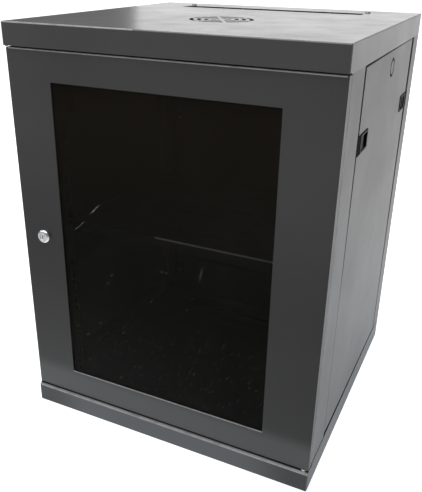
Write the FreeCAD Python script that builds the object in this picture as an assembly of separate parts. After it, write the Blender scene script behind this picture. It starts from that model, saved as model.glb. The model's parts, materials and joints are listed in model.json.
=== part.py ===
# Wall mount network cabinet, 15 rack units, 600 x 600 mm footprint.
# Millimetres. +Z is up, the door faces -Y, X runs left to right seen from the door side.
# The origin is the centre of the underside of the base, which the cabinet stands on.
import FreeCAD, Part
import math
import os

V = FreeCAD.Vector

# ------------------------------------------------------------------ driving dimensions
W = 600.0            # width over the side faces
D = 600.0            # depth, front lips to rear flange
H = 785.0            # height over the roof sheet
T = 1.5              # frame sheet
U = 44.45            # rack unit
N_U = 15             # rack units inside

XH = W / 2
YF = -D / 2          # front of the roof lip and of the plinth lip
YB = D / 2           # rear plane
PROUD = 5.0          # lips stand this far in front of the door face
YD = YF + PROUD      # front face of the door and of the side flanges of roof and base

LIP_X = 300.0        # half width of the roof lip and the plinth lip
HEAD_Z = 745.2       # underside of the roof lip
PLINTH_Z = 40.0      # top of the plinth lip
POST_Z0, POST_Z1 = 47.0, 743.0      # side openings and posts between base and roof flanges

# side frame borders
FRONT_RET_Y = -198.3   # inward flange of the front border
REAR_RET_Y = 243.5     # inward flange of the rear border
# corners of a side panel, seen from outside; it is narrower at the top than at the bottom
PANEL_YZ = ((-196.7, 54.0), (241.5, 49.2), (241.5, 150.0), (228.5, 742.2), (-189.3, 739.4), (-196.7, 330.0))
PANEL_X = 299.5        # outer face of the side panels
PANEL_T = 1.2
PANEL_RET = 12.0

# door
DOOR_X = 299.7
DOOR_Z0, DOOR_Z1 = 43.5, 742.4
DOOR_DEEP = 17.0
POST_FRONT_Y = YD + DOOR_DEEP + 1.3   # the side sheets end just behind the door
WIN_X0, WIN_X1 = -209.3, 207.7
WIN_Z0, WIN_Z1 = 98.4, 688.8
GLASS_T = 4.0
HINGE_X, HINGE_Y = 290.0, -290.0
PIN_R = 2.5
FIT = 0.08             # radial running clearance

# lock
LOCK_X, LOCK_Z = -252.5, 395.5
LOCK_R = 13.6
LOCK_PROUD = 6.5

# roof grille and fan
FAN_X, FAN_Y = 6.0, -68.0
FAN_HOLE = 52.5
RINGS = (14.0, 28.0, 41.5, 55.0)
RING_W = 7.0
SPOKE_W = 6.0

# cable entries
SLOT_X, SLOT_Y0, SLOT_Y1 = 201.0, 179.0, 215.0

# 19 inch rails
Z_U0 = (H - N_U * U) / 2      # underside of the lowest rack unit
RAIL_HOLE_X = 465.1 / 2
RAIL_IN = 225.5
RAIL_OUT = 252.5
RAIL_FRONT_Y = -240.0
RAIL_REAR_Y = 226.0
SHELF_U = 8                   # the shelf's top is at this unit boundary
SHELF_DEEP = 350.0

# side panel latches
LATCH_Z = 618.0
LATCH_LEN = 72.0
LATCH_W = 33.0
LATCH_TRAVEL = 7.0

# round knock-out in each side panel, for an optional lock
KNOCK_Y, KNOCK_Z, KNOCK_R = 32.0, 710.0, 16.5


# ------------------------------------------------------------------ helpers
def box(x0, y0, z0, x1, y1, z1):
    x0, x1 = min(x0, x1), max(x0, x1)
    y0, y1 = min(y0, y1), max(y0, y1)
    z0, z1 = min(z0, z1), max(z0, z1)
    return Part.makeBox(x1 - x0, y1 - y0, z1 - z0, V(x0, y0, z0))


def cyl(r, p, q):
    a, b = V(*p), V(*q)
    return Part.makeCylinder(r, (b - a).Length, a, b - a)


def cone(r1, r2, p, q):
    a, b = V(*p), V(*q)
    return Part.makeCone(r1, r2, (b - a).Length, a, b - a)


def fuse(shapes):
    s = shapes[0]
    if len(shapes) > 1:
        s = s.multiFuse(shapes[1:])
    return s.removeSplitter()


def cut(shape, tools):
    return shape.cut(Part.makeCompound(tools)).removeSplitter()


def poly(pts, normal, length):
    w = Part.makePolygon([V(*p) for p in pts] + [V(*pts[0])])
    return Part.Face(w).extrude(V(*normal) * length if not isinstance(normal, V) else normal * length)


def fillet(shape, r, test):
    """Round the straight edges whose two ends both satisfy test(a, b)."""
    edges = []
    for e in shape.Edges:
        if len(e.Vertexes) == 2:
            a, b = e.Vertexes[0].Point, e.Vertexes[1].Point
            if test(a, b):
                edges.append(e)
    return shape.makeFillet(r, edges) if edges else shape


def near(a, b, tol=0.01):
    return abs(a - b) < tol


def mirror_x(shape):
    return shape.mirror(V(0, 0, 0), V(1, 0, 0))


def one(shape):
    """Return the only solid in a shape."""
    s = shape.Solids
    assert len(s) == 1, "expected one solid, got %d" % len(s)
    return s[0]


OUT = {}


def save(name, shape, count=1):
    solids = shape.Solids
    assert len(solids) == count, "%s: %d solids, expected %d" % (name, len(solids), count)
    for s in solids:
        assert s.isValid() and s.Volume > 0, name + " is not valid"
    OUT[name] = shape if count > 1 else solids[0]


def group(name, shapes):
    c = Part.makeCompound([one(s) if not isinstance(s, Part.Solid) else s for s in shapes])
    save(name, c, len(shapes))


# ------------------------------------------------------------------ roof
def roof():
    def edge_round(a, b):
        top_side = near(a.z, H) and near(b.z, H) and near(abs(a.x), XH) and near(abs(b.x), XH) and a.x * b.x > 0
        top_rear = near(a.z, H) and near(b.z, H) and near(a.y, YB) and near(b.y, YB)
        rear_v = near(a.y, YB) and near(b.y, YB) and near(abs(a.x), XH) and near(a.x, b.x)
        return top_side or top_rear or rear_v

    outer = fillet(box(-XH, YD, POST_Z1, XH, YB, H), 2.5, edge_round)
    xi, yi, zi = XH - T, YB - T, H - T

    def edge_in(a, b):
        top_side = near(a.z, zi) and near(b.z, zi) and near(abs(a.x), xi) and near(abs(b.x), xi) and a.x * b.x > 0
        top_rear = near(a.z, zi) and near(b.z, zi) and near(a.y, yi) and near(b.y, yi)
        rear_v = near(a.y, yi) and near(b.y, yi) and near(abs(a.x), xi) and near(a.x, b.x)
        return top_side or top_rear or rear_v

    inner = fillet(box(-xi, YD - 10, POST_Z1 - 10, xi, yi, zi), 1.0, edge_in)
    shell = outer.cut(inner)

    # front lip: face, two end returns, bottom return
    lo = box(-LIP_X, YF, HEAD_Z, LIP_X, YF + 16, H)
    lo = fillet(lo, 2.5, lambda a, b: near(a.y, YF) and near(b.y, YF) and near(a.z, H) and near(b.z, H))
    lo = fillet(lo, 1.0, lambda a, b: near(abs(a.x), LIP_X) and near(abs(b.x), LIP_X) and a.x * b.x > 0
                and a.y < YF + 0.1 and b.y < YF + 0.1 and abs(a.z - b.z) > 20)
    li = box(-LIP_X + T, YF + T, HEAD_Z + T, LIP_X - T, YF + 20, H - T)
    lip = lo.cut(li)
    ends = []
    for s in (-1, 1):
        ends.append(box(s * (LIP_X - T), YF + T, HEAD_Z - 1, s * (LIP_X + 2), YF + 20, H - T))
        # corner relief, so the seam between lip and side flange is open to the top
        ends.append(box(s * (LIP_X - 1.6), YF + 3.5, H - 9, s * (XH + 1), YD, H + 1))
    lip = cut(lip, ends)
    body = fuse([shell, lip])

    cuts = []
    # ventilation grille: four ring slots broken by six spokes
    spokes = []
    for k in range(6):
        b = Part.makeBox(70, SPOKE_W, 10, V(0, -SPOKE_W / 2, H - 6))
        b.rotate(V(0, 0, 0), V(0, 0, 1), 60 * k)
        b.translate(V(FAN_X, FAN_Y, 0))
        spokes.append(b)
    spokes = spokes[0].multiFuse(spokes[1:])
    for r in RINGS:
        ring = cyl(r + RING_W / 2, (FAN_X, FAN_Y, H - 4), (FAN_X, FAN_Y, H + 2)).cut(
            cyl(r - RING_W / 2, (FAN_X, FAN_Y, H - 4), (FAN_X, FAN_Y, H + 2)))
        cuts += ring.cut(spokes).Solids
    # countersunk fan screw holes
    for sx in (-1, 1):
        for sy in (-1, 1):
            x, y = FAN_X + sx * FAN_HOLE, FAN_Y + sy * FAN_HOLE
            cuts.append(cyl(2.25, (x, y, H - 4), (x, y, H + 2)))
            cuts.append(cone(2.25, 4.3, (x, y, H - T), (x, y, H)))
    # rear cable entry slot with rounded ends
    slot = fillet(box(-SLOT_X, SLOT_Y0, H - 4, SLOT_X, SLOT_Y1, H + 2), 4.0,
                  lambda a, b: near(a.x, b.x) and near(a.y, b.y))
    cuts.append(slot)
    for s in (-1, 1):
        cuts.append(cyl(3.2, (s * SLOT_X, 240, H - 4), (s * SLOT_X, 240, H + 2)))
    # corner notch of the right-hand side sheet beside the door gap
    cuts.append(box(XH - 3, YD - 1, POST_Z1 - 1, XH + 1, YD + 9, HEAD_Z))
    # upper hinge pin hole in the lip's bottom return
    cuts.append(cyl(PIN_R + FIT, (HINGE_X, HINGE_Y, HEAD_Z - 2), (HINGE_X, HINGE_Y, HEAD_Z + 3)))
    return cut(body, cuts)


save("roof_cover", roof())


# ------------------------------------------------------------------ base
def base():
    def edge_round(a, b):
        return near(a.y, YB) and near(b.y, YB) and near(abs(a.x), XH) and near(a.x, b.x)

    outer = fillet(box(-XH, YD, 0, XH, YB, POST_Z0), 2.5, edge_round)
    inner = fillet(box(-XH + T, YD - 10, T, XH - T, YB - T, POST_Z0 + 10), 1.0,
                   lambda a, b: near(a.y, YB - T) and near(b.y, YB - T) and near(a.x, b.x) and near(abs(a.x), XH - T))
    shell = outer.cut(inner)
    # plinth lip: a box channel across the front
    po = box(-LIP_X, YF, 0, LIP_X, YF + 32, PLINTH_Z)
    po = fillet(po, 1.8, lambda a, b: near(a.y, YF) and near(b.y, YF) and near(a.z, b.z))
    po = fillet(po, 1.8, lambda a, b: near(abs(a.x), LIP_X) and near(abs(b.x), LIP_X) and a.x * b.x > 0
                and a.y < YF + 0.1 and b.y < YF + 0.1 and abs(a.z - b.z) > 20)
    pi = box(-LIP_X + T, YF + T, T, LIP_X - T, YF + 32 - T, PLINTH_Z - T)
    lip = po.cut(pi)
    ends = []
    for s in (-1, 1):
        ends.append(box(s * (LIP_X - T), YF + 3.5, T, s * (LIP_X + 2), YF + 40, PLINTH_Z + 1))
    lip = cut(lip, ends)
    body = fuse([shell, lip])
    cuts = [cyl(PIN_R + FIT, (HINGE_X, HINGE_Y, PLINTH_Z - 3), (HINGE_X, HINGE_Y, PLINTH_Z + 2))]
    slot = fillet(box(-SLOT_X, SLOT_Y0, -2, SLOT_X, SLOT_Y1, 4), 4.0,
                  lambda a, b: near(a.x, b.x) and near(a.y, b.y))
    cuts.append(slot)
    for s in (-1, 1):
        cuts.append(cyl(3.2, (s * SLOT_X, 240, -2), (s * SLOT_X, 240, 4)))
        # the side flange is stepped down below the door
        cuts.append(box(s * (XH - T - 0.1), YD - 1, DOOR_Z0 - 0.9, s * (XH + 1), POST_FRONT_Y, POST_Z0 + 1))
    return cut(body, cuts)


save("base_tray", base())


# ------------------------------------------------------------------ posts: the sheet borders of the two side openings
def latch_slot(y0, y1):
    return box(288.5, y0, LATCH_Z - 9, 293.5, y1, LATCH_Z + 9)


def front_post(notch):
    z0, z1 = POST_Z0, POST_Z1
    web = box(XH - T, POST_FRONT_Y, z0, XH, FRONT_RET_Y, z1)
    ret = box(285 - T, FRONT_RET_Y - T, z0, XH, FRONT_RET_Y, z1)
    body = fuse([web, ret])
    body = fillet(body, 2.0, lambda a, b: near(a.x, XH) and near(b.x, XH) and near(a.y, FRONT_RET_Y)
                  and near(b.y, FRONT_RET_Y))
    ledge = box(285 - T, FRONT_RET_Y - T, z0, 285, FRONT_RET_Y + 14, z1)
    stop = box(262, YD + 20.8, z0, XH - 0.4, YD + 22, z1)
    body = fuse([body, ledge, stop])
    cuts = [box(XH - 3, YD - 1, 741.8, XH + 1, YD + 9, z1 + 1)] if notch else []
    return cut(body, cuts + [
        # open seam between the base tray's side flange and the side sheet
        box(XH - T - 0.1, YD - 1, z0 - 1, XH + 1, FRONT_RET_Y - T, z0 + 2.4),
        latch_slot(FRONT_RET_Y - 3, FRONT_RET_Y + 1),
        cyl(PIN_R + FIT, (280, FRONT_RET_Y + 8, 70), (288, FRONT_RET_Y + 8, 70)),
    ])


def rear_post():
    z0, z1 = POST_Z0, POST_Z1
    web = box(XH - T, REAR_RET_Y, z0, XH, YB, z1)
    ret = box(285 - T, REAR_RET_Y, z0, XH, REAR_RET_Y + T, z1)
    back = box(262, YB - T, z0, XH, YB, z1)
    body = fuse([web, ret, back])
    body = fillet(body, 2.0, lambda a, b: near(a.x, XH) and near(b.x, XH) and near(a.y, REAR_RET_Y)
                  and near(b.y, REAR_RET_Y))
    body = fillet(body, 2.5, lambda a, b: near(a.x, XH) and near(b.x, XH) and near(a.y, YB) and near(b.y, YB)
                  and abs(a.z - b.z) > 100)
    ledge = box(285 - T, REAR_RET_Y - 14, z0, 285, REAR_RET_Y + T, z1)
    body = fuse([body, ledge])
    cuts = [latch_slot(REAR_RET_Y - 1, REAR_RET_Y + 3),
            box(XH - T - 0.1, REAR_RET_Y + T, z0 - 1, XH + 1, YB - 6, z0 + 2.4),
            cyl(PIN_R + FIT, (280, REAR_RET_Y - 8, 70), (288, REAR_RET_Y - 8, 70))]
    for z in REAR_SCREW_Z:
        cuts.append(cyl(2.6, (267.5, YB - 4, z), (267.5, YB + 2, z)))
    return cut(body, cuts)


REAR_SCREW_Z = (80.0, 290.0, 500.0, 710.0)
rp = rear_post()
save("front_post_right", front_post(True))
save("front_post_left", mirror_x(front_post(False)))
save("rear_post_right", rp)
save("rear_post_left", mirror_x(rp))

# ------------------------------------------------------------------ rear panel and wall fixing strips
RP_Y0, RP_Y1 = YB - T - 1.2, YB - T
RP_X, RP_Z0, RP_Z1 = 273.0, 36.0, 754.0
WALL_X = 215.0
WALL_Z0, WALL_Z1 = 130.0, 690.0


def rear_panel():
    b = fillet(box(-RP_X, RP_Y0, RP_Z0, RP_X, RP_Y1, RP_Z1), 6.0, lambda a, c: near(a.x, c.x) and near(a.z, c.z))
    cuts = []
    for s in (-1, 1):
        for z in REAR_SCREW_Z:
            cuts.append(cyl(2.6, (s * 267.5, RP_Y0 - 2, z), (s * 267.5, RP_Y1 + 2, z)))
        for z in (WALL_Z0, WALL_Z1):
            cuts.append(cyl(6.0, (s * WALL_X, RP_Y0 - 2, z), (s * WALL_X, RP_Y1 + 2, z)))
        # hanging keyholes beside the upper fixing holes
        x = s * 150
        cuts.append(cyl(9.0, (x, RP_Y0 - 2, 680), (x, RP_Y1 + 2, 680)))
        cuts.append(box(x - 4.5, RP_Y0 - 2, 680, x + 4.5, RP_Y1 + 2, 700))
        cuts.append(cyl(4.5, (x, RP_Y0 - 2, 700), (x, RP_Y1 + 2, 700)))
    return cut(b, cuts)


save("rear_panel", rear_panel())


def wall_strip(zc, key):
    y1 = RP_Y0
    y0 = y1 - 3.0
    web = box(-250, y0, zc - 25, 250, y1, zc + 25)
    flange_a = box(-250, y0 - 12, zc - 25, 250, y1, zc - 22)
    flange_b = box(-250, y0 - 12, zc + 22, 250, y1, zc + 25)
    b = fuse([web, flange_a, flange_b])
    cuts = []
    for s in (-1, 1):
        cuts.append(cyl(6.0, (s * WALL_X, y0 - 2, zc), (s * WALL_X, y1 + 2, zc)))
        if key:
            x = s * 150
            cuts.append(cyl(9.0, (x, y0 - 2, 680), (x, y1 + 2, 680)))
            cuts.append(box(x - 4.5, y0 - 2, 680, x + 4.5, y1 + 2, 700))
            cuts.append(cyl(4.5, (x, y0 - 2, 700), (x, y1 + 2, 700)))
    return cut(b, cuts)


save("wall_mount_strip_top", wall_strip(WALL_Z1, True))
save("wall_mount_strip_bottom", wall_strip(WALL_Z0, False))


def pan_screw_y(x, z, y_face, r=2.5, head_r=5.0, head_h=2.4, length=4.0):
    """Pan head screw driven towards +Y; its head bears on y_face."""
    head = cyl(head_r, (x, y_face - head_h, z), (x, y_face, z))
    head = head.makeFillet(1.0, [e for e in head.Edges if near(e.BoundBox.YMax, y_face - head_h, 0.02)
                                 and near(e.BoundBox.YMin, y_face - head_h, 0.02)])
    s = fuse([head, cyl(r, (x, y_face - 0.5, z), (x, y_face + length, z))])
    cross = [box(x - 2.6, y_face - head_h - 1, z - 0.55, x + 2.6, y_face - head_h + 1.3, z + 0.55),
             box(x - 0.55, y_face - head_h - 1, z - 2.6, x + 0.55, y_face - head_h + 1.3, z + 2.6)]
    return cut(s, cross)


group("rear_panel_screws", [pan_screw_y(s * 267.5, z, RP_Y0, r=2.5, length=2.5)
                            for s in (-1, 1) for z in REAR_SCREW_Z])


# ------------------------------------------------------------------ cable entry covers
def cover(z0, z1):
    b = fillet(box(-217, 217, z0, 217, 262, z1), 5.0, lambda a, c: near(a.x, c.x) and near(a.y, c.y))
    cuts = []
    for s in (-1, 1):
        x = s * SLOT_X
        cuts.append(box(x - 3.2, 234, z0 - 1, x + 3.2, 246, z1 + 1))
        cuts.append(cyl(3.2, (x, 234, z0 - 1), (x, 234, z1 + 1)))
        cuts.append(cyl(3.2, (x, 246, z0 - 1), (x, 246, z1 + 1)))
    lip = box(-195, 217, z0 - 8 if z0 > 100 else z0, 195, 218.5, z1 if z0 > 100 else z1 + 8)
    return cut(fuse([b, lip]), cuts)


save("top_cable_cover", cover(H - T - T, H - T))
save("bottom_cable_cover", cover(T, T + T))


def cover_screw(x, y, z_face, up):
    """Button head screw through a cover; up is the way the head faces."""
    s = 1 if up else -1
    head = cyl(5.5, (x, y, z_face), (x, y, z_face + s * 2.5))
    zt = z_face + s * 2.5
    head = head.makeFillet(1.6, [e for e in head.Edges if near(e.BoundBox.ZMax, zt, 0.02)
                                 and near(e.BoundBox.ZMin, zt, 0.02)])
    body = fuse([head, cyl(3.0, (x, y, z_face + s * 0.5), (x, y, z_face - s * 9))])
    hexa = Part.Face(Part.makePolygon([V(x + 2.2 * math.cos(math.radians(60 * k)), y + 2.2 * math.sin(math.radians(60 * k)),
                                         zt - s * 1.6) for k in range(7)])).extrude(V(0, 0, s * 3))
    nut = Part.Face(Part.makePolygon([V(x + 5.7 * math.cos(math.radians(60 * k)), y + 5.7 * math.sin(math.radians(60 * k)),
                                        z_face - s * 3.0) for k in range(7)])).extrude(V(0, 0, -s * 4.5))
    return one(fuse([cut(body, [hexa]), nut]))


def base_cover_screw(x, y):
    """Short button head screw into the base sheet, its head on the cover inside."""
    zt = 2 * T + 2.5
    head = cyl(5.5, (x, y, 2 * T), (x, y, zt))
    head = head.makeFillet(1.6, [e for e in head.Edges if near(e.BoundBox.ZMax, zt, 0.02)
                                 and near(e.BoundBox.ZMin, zt, 0.02)])
    hexa = Part.Face(Part.makePolygon([V(x + 2.2 * math.cos(math.radians(60 * k)), y + 2.2 * math.sin(math.radians(60 * k)),
                                         zt - 1.6) for k in range(7)])).extrude(V(0, 0, 3))
    return one(cut(fuse([head, cyl(3.0, (x, y, 0.3), (x, y, 2 * T + 0.5))]), [hexa]))


group("cable_cover_screws", [cover_screw(s * SLOT_X, 240, H, True) for s in (-1, 1)]
      + [base_cover_screw(s * SLOT_X, 240) for s in (-1, 1)])


# ------------------------------------------------------------------ rail supports and 19 inch rails
RAIL_BOLT_F = -223.0
RAIL_BOLT_R = 209.0


def rail_support(zlo):
    y0, y1 = YD + 22, RP_Y0
    z1 = zlo + 40
    web = box(RAIL_OUT, y0, zlo, RAIL_OUT + 2, y1, z1)
    tab_f = box(RAIL_OUT, y0, zlo, 290, y0 + 2, z1)
    tab_r = box(RAIL_OUT, y1 - 2, zlo, 261, y1, z1)
    low = box(RAIL_OUT, y0, zlo, RAIL_OUT + 14, y1, zlo + 2)
    b = fuse([web, tab_f, tab_r, low])
    cuts = []
    for k in range(13):
        y = RAIL_BOLT_F + 36 * k
        zc = zlo + 22
        cuts.append(box(RAIL_OUT - 1, y - 7, zc - 3.3, RAIL_OUT + 3, y + 7, zc + 3.3))
        cuts.append(cyl(3.3, (RAIL_OUT - 1, y - 7, zc), (RAIL_OUT + 3, y - 7, zc)))
        cuts.append(cyl(3.3, (RAIL_OUT - 1, y + 7, zc), (RAIL_OUT + 3, y + 7, zc)))
    return cut(b, cuts)


SUP_LO, SUP_HI = 50.0, 697.0
for nm, z in (("bottom", SUP_LO), ("top", SUP_HI)):
    s = rail_support(z)
    save("rail_support_%s_right" % nm, s)
    save("rail_support_%s_left" % nm, mirror_x(s))


def rack_rail(front):
    if front:
        y0, y1, yr = RAIL_FRONT_Y, RAIL_FRONT_Y + 2, RAIL_FRONT_Y + 32
    else:
        y0, y1, yr = RAIL_REAR_Y - 2, RAIL_REAR_Y, RAIL_REAR_Y - 32
    zlo, zhi = 52.0, 735.0
    plate = box(RAIL_IN, y0, zlo, RAIL_OUT, y1, zhi)
    side = box(RAIL_OUT - 2, min(y0, yr), zlo, RAIL_OUT, max(y1, yr), zhi)
    b = fuse([plate, side])
    ye = y0 if front else y1
    b = fillet(b, 1.8, lambda p, q: near(p.x, RAIL_OUT) and near(q.x, RAIL_OUT) and near(p.y, ye) and near(q.y, ye)
               and abs(p.z - q.z) > 100)
    cuts = []
    for u in range(N_U):
        for dz in (6.35, 22.225, 38.1):
            z = Z_U0 + u * U + dz
            cuts.append(box(RAIL_HOLE_X - 4.75, y0 - 1, z - 4.75, RAIL_HOLE_X + 4.75, y1 + 1, z + 4.75))
    yb = RAIL_BOLT_F if front else RAIL_BOLT_R
    for z in (SUP_LO + 22, SUP_HI + 22):
        cuts.append(cyl(3.2, (RAIL_OUT - 4, yb, z), (RAIL_OUT + 2, yb, z)))
    return cut(b, cuts)


for nm, fr in (("front", True), ("rear", False)):
    r = rack_rail(fr)
    save("rack_rail_%s_right" % nm, r)
    save("rack_rail_%s_left" % nm, mirror_x(r))


def rail_bolt(s, y, z):
    """Flanged hexagon bolt through rail and support, head inside the rail, nut outside."""
    xr = RAIL_OUT - 2
    def hexa(x0, x1, r):
        f = Part.Face(Part.makePolygon([V(s * x0, y + r * math.cos(math.radians(60 * k)),
                                          z + r * math.sin(math.radians(60 * k))) for k in range(7)]))
        return f.extrude(V(s * (x1 - x0), 0, 0))
    head = hexa(xr - 4.6, xr - 1.0, 5.6)
    flange = cyl(6.6, (s * (xr - 1.2), y, z), (s * xr, y, z))
    shank = cyl(3.0, (s * (xr - 1), y, z), (s * (RAIL_OUT + 9), y, z))
    nut = hexa(RAIL_OUT + 2, RAIL_OUT + 7, 5.6)
    return one(fuse([head, flange, shank, nut]))


group("rail_bolts", [rail_bolt(s, y, z) for s in (-1, 1) for y in (RAIL_BOLT_F, RAIL_BOLT_R)
                     for z in (SUP_LO + 22, SUP_HI + 22)])


# ------------------------------------------------------------------ roof fan
FAN_Z1 = H - T
FAN_Z0 = FAN_Z1 - 25.0


def fan_frame():
    x, y = FAN_X, FAN_Y
    b = fillet(box(x - 60, y - 60, FAN_Z0, x + 60, y + 60, FAN_Z1), 5.0,
               lambda a, c: near(a.x, c.x) and near(a.y, c.y))
    b = b.cut(cyl(57.5, (x, y, FAN_Z0 - 1), (x, y, FAN_Z1 + 1)))
    hub = cyl(22, (x, y, FAN_Z0), (x, y, FAN_Z0 + 3))
    arms = []
    for k in range(4):
        a = Part.makeBox(59, 5, 3, V(0, -2.5, FAN_Z0))
        a.rotate(V(0, 0, 0), V(0, 0, 1), 45 + 90 * k)
        a.translate(V(x, y, 0))
        arms.append(a)
    spindle = cyl(2.0, (x, y, FAN_Z0 + 2), (x, y, FAN_Z0 + 16))
    b = fuse([b, hub, spindle] + arms)
    cuts = []
    for sx in (-1, 1):
        for sy in (-1, 1):
            cuts.append(cyl(2.15, (x + sx * FAN_HOLE, y + sy * FAN_HOLE, FAN_Z0 - 1),
                            (x + sx * FAN_HOLE, y + sy * FAN_HOLE, FAN_Z1 + 1)))
    # waist between the two corner flanges, open on the four sides
    for sx, sy in ((1, 0), (-1, 0), (0, 1), (0, -1)):
        w = 38
        if sx:
            cuts.append(box(x + sx * 59.0, y - w, FAN_Z0 + 4, x + sx * 62, y + w, FAN_Z1 - 4))
        else:
            cuts.append(box(x - w, y + sy * 59.0, FAN_Z0 + 4, x + w, y + sy * 62, FAN_Z1 - 4))
    return cut(b, cuts)


def fan_rotor():
    x, y = FAN_X, FAN_Y
    z0, z1 = FAN_Z0 + 4.0, FAN_Z1 - 3.0
    hub = cyl(20, (x, y, z0), (x, y, z1))
    hub = hub.makeFillet(2.0, [e for e in hub.Edges if near(e.BoundBox.ZMin, z1, 0.02)])
    ring = cyl(55.5, (x, y, z0), (x, y, z1)).cut(cyl(19, (x, y, z0), (x, y, z1)))
    blades = []
    for k in range(7):
        b = Part.makeBox(60, 1.6, 34, V(10, -0.8, -17))
        b.rotate(V(0, 0, 0), V(1, 0, 0), 52)
        b.translate(V(0, 0, (z0 + z1) / 2))
        b.rotate(V(0, 0, 0), V(0, 0, 1), 360.0 / 7 * k)
        b.translate(V(x, y, 0))
        blades.append(b.common(ring))
    s = fuse([hub] + blades)
    return cut(s, [cyl(2.0 + FIT, (x, y, z0 - 1), (x, y, FAN_Z0 + 16.5))])


def fan_guard():
    x, y = FAN_X, FAN_Y
    z = FAN_Z0 - 1.0
    parts = []
    for r in (16, 27, 38, 49, 58):
        parts.append(cyl(r + 0.9, (x, y, z - 0.9), (x, y, z + 0.9)).cut(cyl(r - 0.9, (x, y, z - 0.9), (x, y, z + 0.9))))
    for k in range(4):
        a = Part.makeBox(74.25 + 1 - 15, 1.8, 1.8, V(15, -0.9, z - 0.9))
        a.rotate(V(0, 0, 0), V(0, 0, 1), 45 + 90 * k)
        a.translate(V(x, y, 0))
        parts.append(a)
    for sx in (-1, 1):
        for sy in (-1, 1):
            cx, cy = x + sx * FAN_HOLE, y + sy * FAN_HOLE
            parts.append(cyl(4.5, (cx, cy, z - 0.9), (cx, cy, z + 1.0)))
    b = fuse(parts)
    return cut(b, [cyl(2.3, (x + sx * FAN_HOLE, y + sy * FAN_HOLE, z - 3), (x + sx * FAN_HOLE, y + sy * FAN_HOLE, z + 3))
                   for sx in (-1, 1) for sy in (-1, 1)])


def fan_screw(x, y):
    head = cone(2.0, 4.1, (x, y, H - T), (x, y, H - 0.05))
    shank = cyl(2.0, (x, y, FAN_Z0 - 9), (x, y, H - 0.6))
    cross = [box(x - 2.2, y - 0.45, H - 1.2, x + 2.2, y + 0.45, H + 1),
             box(x - 0.45, y - 2.2, H - 1.2, x + 0.45, y + 2.2, H + 1)]
    z = FAN_Z0 - 1.95
    nut = Part.Face(Part.makePolygon([V(x + 4.0 * math.cos(math.radians(60 * k)), y + 4.0 * math.sin(math.radians(60 * k)),
                                        z) for k in range(7)])).extrude(V(0, 0, -3.2))
    return one(fuse([cut(fuse([head, shank]), cross), nut]))


save("fan_frame", fan_frame())
save("fan_rotor", fan_rotor())
save("fan_guard", fan_guard())
group("fan_screws", [fan_screw(FAN_X + sx * FAN_HOLE, FAN_Y + sy * FAN_HOLE) for sx in (-1, 1) for sy in (-1, 1)])


# ------------------------------------------------------------------ door hinges, on the right
def hinge_plate(z0, z1):
    b = fillet(box(268, YF + 2, z0, 297, YF + 15.5, z1), 3.0, lambda a, c: near(a.x, c.x) and near(a.y, c.y) and a.x < 270)
    return cut(b, [cyl(PIN_R + FIT, (HINGE_X, HINGE_Y, z0 - 1), (HINGE_X, HINGE_Y, z1 + 1))])


save("hinge_plate_lower", hinge_plate(PLINTH_Z - T - 3.0, PLINTH_Z - T))
save("hinge_plate_upper", hinge_plate(HEAD_Z + T, HEAD_Z + T + 3.0))


def hinge_pin_lower():
    x, y = HINGE_X, HINGE_Y
    pin = cyl(PIN_R, (x, y, PLINTH_Z - T - 4.5), (x, y, 56))
    pin = pin.makeChamfer(0.7, [e for e in pin.Edges if near(e.BoundBox.ZMin, 56, 0.02)])
    collar = cyl(4.9, (x, y, PLINTH_Z), (x, y, PLINTH_Z + 1.0))
    return fuse([pin, collar])


save("hinge_pin_lower", hinge_pin_lower())


def hinge_bush_lower():
    x, y = HINGE_X, HINGE_Y
    f = cyl(4.9, (x, y, PLINTH_Z + 1.2), (x, y, DOOR_Z0))
    s = cyl(3.4, (x, y, DOOR_Z0 - 0.5), (x, y, DOOR_Z0 + 4))
    return cut(fuse([f, s]), [cyl(PIN_R + FIT, (x, y, PLINTH_Z), (x, y, DOOR_Z0 + 6))])


save("hinge_bush_lower", hinge_bush_lower())


def hinge_pin_upper():
    x, y = HINGE_X, HINGE_Y
    pin = cyl(PIN_R, (x, y, 698), (x, y, 752))
    pin = pin.makeFillet(1.2, [e for e in pin.Edges if near(e.BoundBox.ZMin, 752, 0.02)])
    collar = cyl(3.2, (x, y, 724), (x, y, 726))
    tail = cyl(2.0, (x, y, 700.4), (x - 18, y, 700.4))
    return fuse([pin, collar, tail])


save("hinge_pin_upper", hinge_pin_upper())


def hinge_pin_bracket():
    """L bracket welded to the door's right-hand return; the pin runs through its shelf."""
    plate = box(DOOR_X - T - 1.5, YD + T, 706, DOOR_X - T, YD + T + 13, 730)
    shelf = box(HINGE_X - 9, YD + T, 708, DOOR_X - T, YD + T + 12, 710)
    return cut(fuse([plate, shelf]), [cyl(PIN_R + FIT, (HINGE_X, HINGE_Y, 700), (HINGE_X, HINGE_Y, 712))])


save("hinge_pin_bracket", hinge_pin_bracket())


def coil_spring(x, y, z0, z1, r, wire, turns):
    pitch = (z1 - z0 - 2 * wire) / turns
    helix = Part.makeHelix(pitch, pitch * turns, r)
    circ = Part.Wire([Part.Circle(V(r, 0, 0), V(0, 1, 0), wire).toShape()])
    sweep = Part.Wire(helix).makePipeShell([circ], True, True)
    sweep.translate(V(x, y, z0 + wire))
    return sweep


save("hinge_pin_spring", coil_spring(HINGE_X, HINGE_Y, 710.1, 723.9, 2.94, 0.35, 7))


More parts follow.
